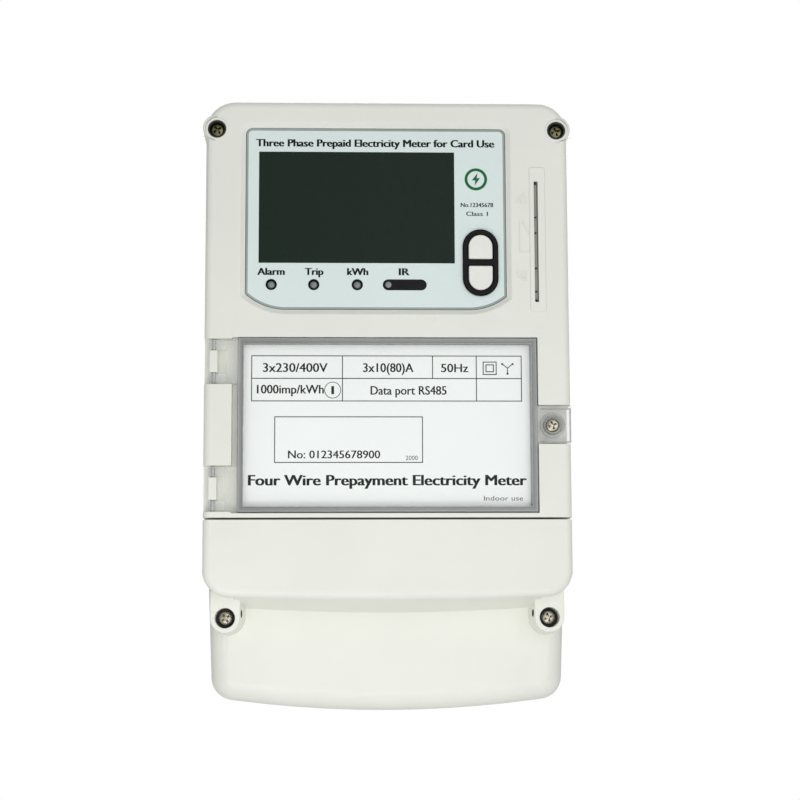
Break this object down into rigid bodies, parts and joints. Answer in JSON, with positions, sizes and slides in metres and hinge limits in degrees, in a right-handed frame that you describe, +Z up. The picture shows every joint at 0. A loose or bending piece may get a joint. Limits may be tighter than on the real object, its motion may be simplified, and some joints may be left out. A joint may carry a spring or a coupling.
{
  "type": "prepaid electricity meter",
  "caption": "Wall-mounted three-phase prepaid electricity meter with display, keys, card slot, hinged nameplate window and lift-off terminal cover.",
  "frame": {"origin": "centre of the flat back face that lies on the wall", "axes": "+X to the right seen from the front, +Y into the wall, +Z up along the meter's height"},
  "size_m": [0.1704, 0.0805, 0.2816],
  "materials": {
    "ivory_case": "fine moulded texture",
    "ivory_key": "smooth",
    "panel_print": "satin printed",
    "lens_smoke": "polished",
    "clear_window": "polished",
    "label_paper": "printed",
    "black_plastic": "moulded",
    "black_gloss": "moulded",
    "grey_plastic": "moulded",
    "green_plastic": "moulded",
    "white_plastic": "moulded",
    "blue_plastic": "coated",
    "board_green": "solder mask",
    "rubber_black": "moulded",
    "rubber_grey": "foam cord",
    "nickel": "nickel plated",
    "zinc_steel": "zinc plated",
    "pin_steel": "drawn",
    "brass": "machined",
    "gold": "gold plated",
    "tinned": "tinned",
    "led_lens": "diffuse epoxy",
    "ir_black": "infrared filter",
    "lcd_dark": "display frame",
    "battery_green": "sleeved",
    "core_blue": "coated",
    "tape_yellow": "taped",
    "cable_grey": "ribbon"
  },
  "bodies": {
    "meter": {"base": "ivory_case", "main_cover": "ivory_case", "case_gasket": "rubber_grey", "cover_screws": "nickel", "screw_collars": "rubber_black", "cover_lower_screws": "nickel", "display_panel": "panel_print", "lcd_lens": "lens_smoke", "lcd_module": "lcd_dark", "display_pcb": "board_green", "display_pcb_screws": "zinc_steel", "key_bezel": "black_gloss", "key_switches": "black_plastic", "alarm_led": "led_lens", "trip_led": "led_lens", "pulse_led": "led_lens", "led_bezels": "black_plastic", "ir_window": "ir_black", "ir_emitter": "led_lens", "ir_receiver": "ir_black", "card_reader_body": "black_plastic", "card_contacts": "gold", "card_reader_pcb": "board_green", "nameplate": "label_paper", "hinge_pins": "pin_steel", "window_insert": "brass", "terminal_block": "grey_plastic", "terminal_block_screws": "zinc_steel", "main_terminals": "brass", "clamp_screws": "nickel", "busbars": "brass", "aux_terminal_block": "green_plastic", "aux_terminals": "tinned", "aux_screws": "zinc_steel", "current_transformers": "core_blue", "latching_relays": "grey_plastic", "main_pcb": "board_green", "pcb_screws": "zinc_steel", "supply_transformers": "tape_yellow", "capacitors": "black_gloss", "varistors": "blue_plastic", "board_chips": "black_plastic", "backup_battery": "battery_green", "battery_holder": "black_plastic", "buzzer": "black_plastic", "ribbon_cable": "cable_grey", "cover_switch": "black_plastic", "terminal_switch": "black_plastic"},
    "window": {"nameplate_window": "clear_window", "window_screw": "nickel"},
    "upper_key": {"upper_button": "ivory_key", "upper_key_plunger": "black_plastic"},
    "lower_key": {"lower_button": "ivory_key", "lower_key_plunger": "black_plastic"},
    "terminal_lid": {"terminal_cover": "ivory_case", "terminal_cover_screws": "nickel", "terminal_screw_washers": "rubber_black"},
    "cover_plunger": {"cover_switch_plunger": "white_plastic"},
    "terminal_plunger": {"terminal_switch_plunger": "white_plastic"},
    "hanger": {"hanger_bracket": "zinc_steel"}
  },
  "joints": [
    {"name": "window_hinge", "type": "hinge", "parent": "meter", "child": "window", "pos_m": [-0.0797, -0.0775, -0.0111], "axis": [0, 0, -1], "range_deg": [0, 110]},
    {"name": "upper_key_press", "type": "slide", "parent": "meter", "child": "upper_key", "axis": [0, 1, 0], "range_m": [0, 0.0009], "stiffness_N_per_m": 1200, "springref_m": -0.0006},
    {"name": "lower_key_press", "type": "slide", "parent": "meter", "child": "lower_key", "axis": [0, 1, 0], "range_m": [0, 0.0009], "stiffness_N_per_m": 1200, "springref_m": -0.0006},
    {"name": "terminal_cover_lift", "type": "slide", "parent": "meter", "child": "terminal_lid", "axis": [0, -1, 0], "range_m": [0, 0.09]},
    {"name": "cover_switch_press", "type": "slide", "parent": "meter", "child": "cover_plunger", "axis": [0, 1, 0], "range_m": [0, 0.001], "stiffness_N_per_m": 300, "springref_m": -0.0005},
    {"name": "terminal_switch_press", "type": "slide", "parent": "meter", "child": "terminal_plunger", "axis": [0, 1, 0], "range_m": [0, 0.001], "stiffness_N_per_m": 300, "springref_m": -0.0005},
    {"name": "hanger_slide", "type": "slide", "parent": "meter", "child": "hanger", "axis": [0, 0, 1], "range_m": [0, 0.022]}
  ]
}
